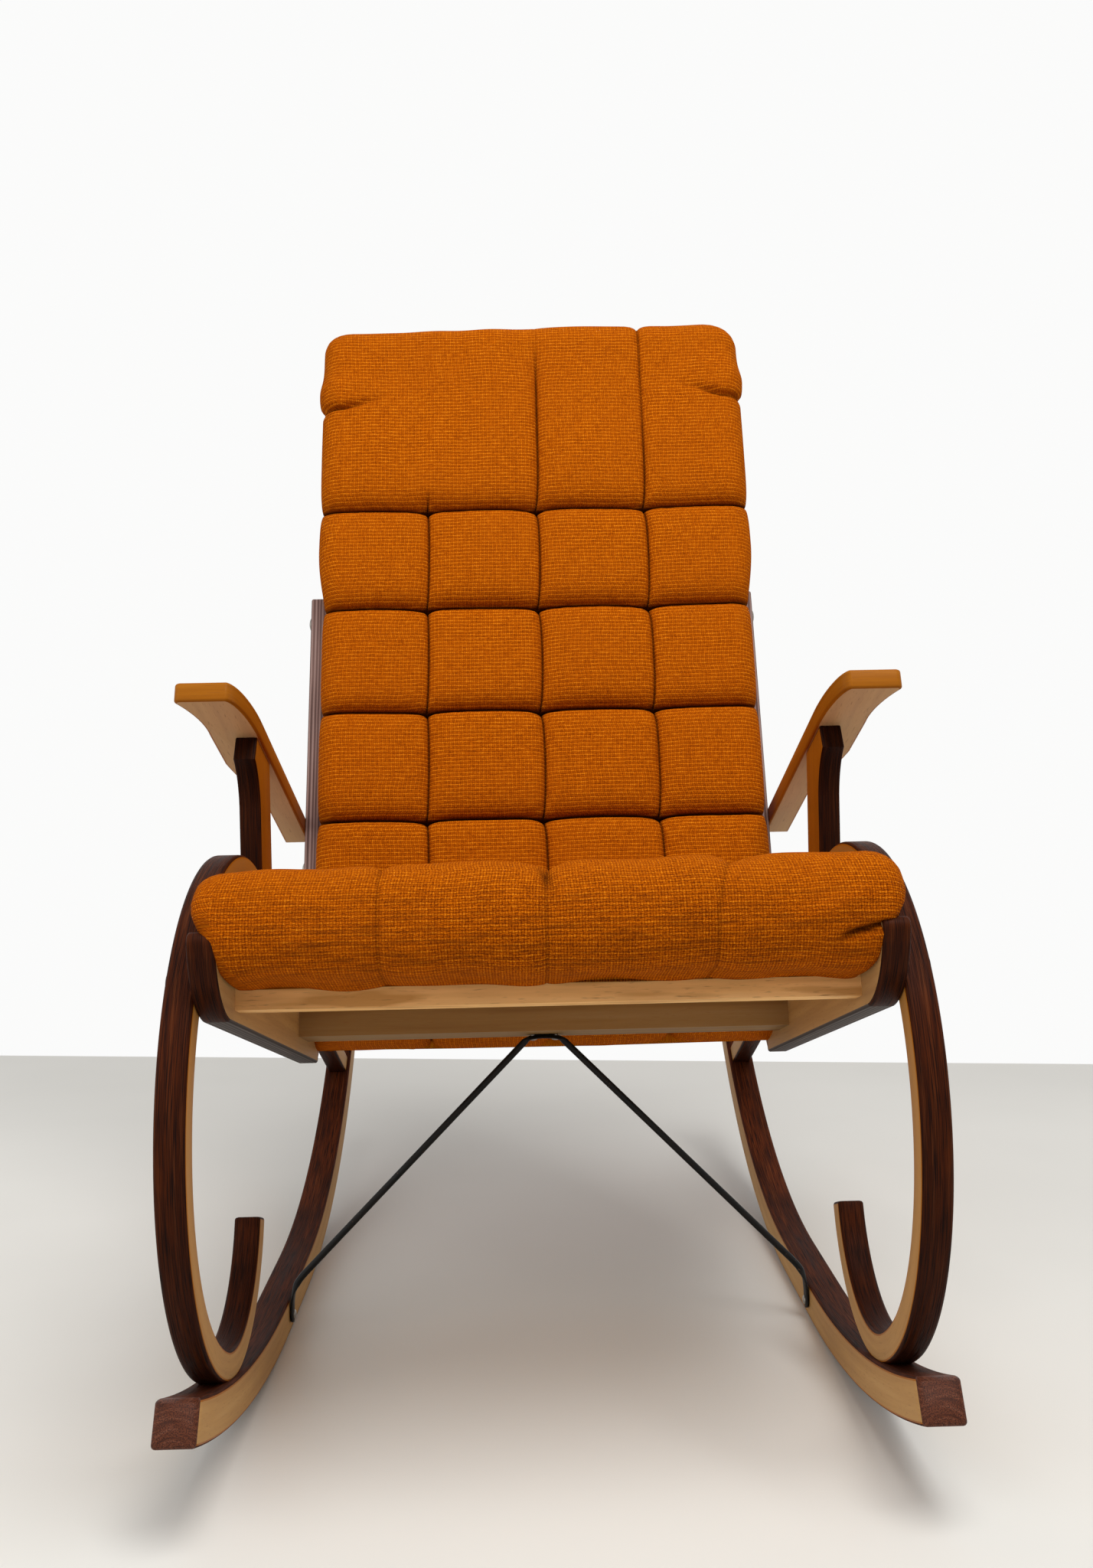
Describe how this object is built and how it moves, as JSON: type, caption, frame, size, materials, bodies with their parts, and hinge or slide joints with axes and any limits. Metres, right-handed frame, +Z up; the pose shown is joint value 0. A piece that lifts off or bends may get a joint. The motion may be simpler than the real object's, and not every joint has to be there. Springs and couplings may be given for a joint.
{
  "type": "bentwood rocking chair",
  "caption": "Bentwood rocking chair with curved runners, scrolled side hoops, sloping wooden arms and a tall button-free tufted tweed seat and back, braced by a bent steel rod.",
  "frame": {"origin": "on the floor, midway between the runners and midway along them", "axes": "+Z up, the sitter faces -Y, +X to the right of someone who looks at the chair's front"},
  "size_m": [0.624, 1.002, 1.0643],
  "materials": {
    "bent_wood": "dark stained bent wood, satin lacquer, honey side faces",
    "arm_wood": "honey lacquer",
    "frame_wood": "plain pale wood",
    "tweed": "rust-orange tweed",
    "black_steel": "black painted rod",
    "bolt_steel": "plain steel"
  },
  "bodies": {
    "root": {"rocker_left": "bent_wood", "rocker_right": "bent_wood", "hoop_left": "bent_wood", "hoop_right": "bent_wood", "arm_post_left": "bent_wood", "arm_post_right": "bent_wood", "seat_rail_left": "bent_wood", "seat_rail_right": "bent_wood", "back_stile_left": "bent_wood", "back_stile_right": "bent_wood", "armrest_left": "arm_wood", "armrest_right": "arm_wood", "back_upright_left": "frame_wood", "back_upright_right": "frame_wood", "seat_front_rail": "frame_wood", "seat_rear_rail": "frame_wood", "seat_board": "frame_wood", "back_lower_rail": "frame_wood", "back_middle_rail": "frame_wood", "back_top_rail": "frame_wood", "back_board": "frame_wood", "seat_cushion": "tweed", "back_cushion": "tweed", "back_cover": "tweed", "v_brace": "black_steel", "brace_screws": "bolt_steel", "rail_bolts": "bolt_steel", "stile_bolts": "bolt_steel", "back_bolts": "bolt_steel", "arm_screws": "bolt_steel", "lap_screws": "bolt_steel", "hoop_screws": "bolt_steel"}
  },
  "joints": []
}
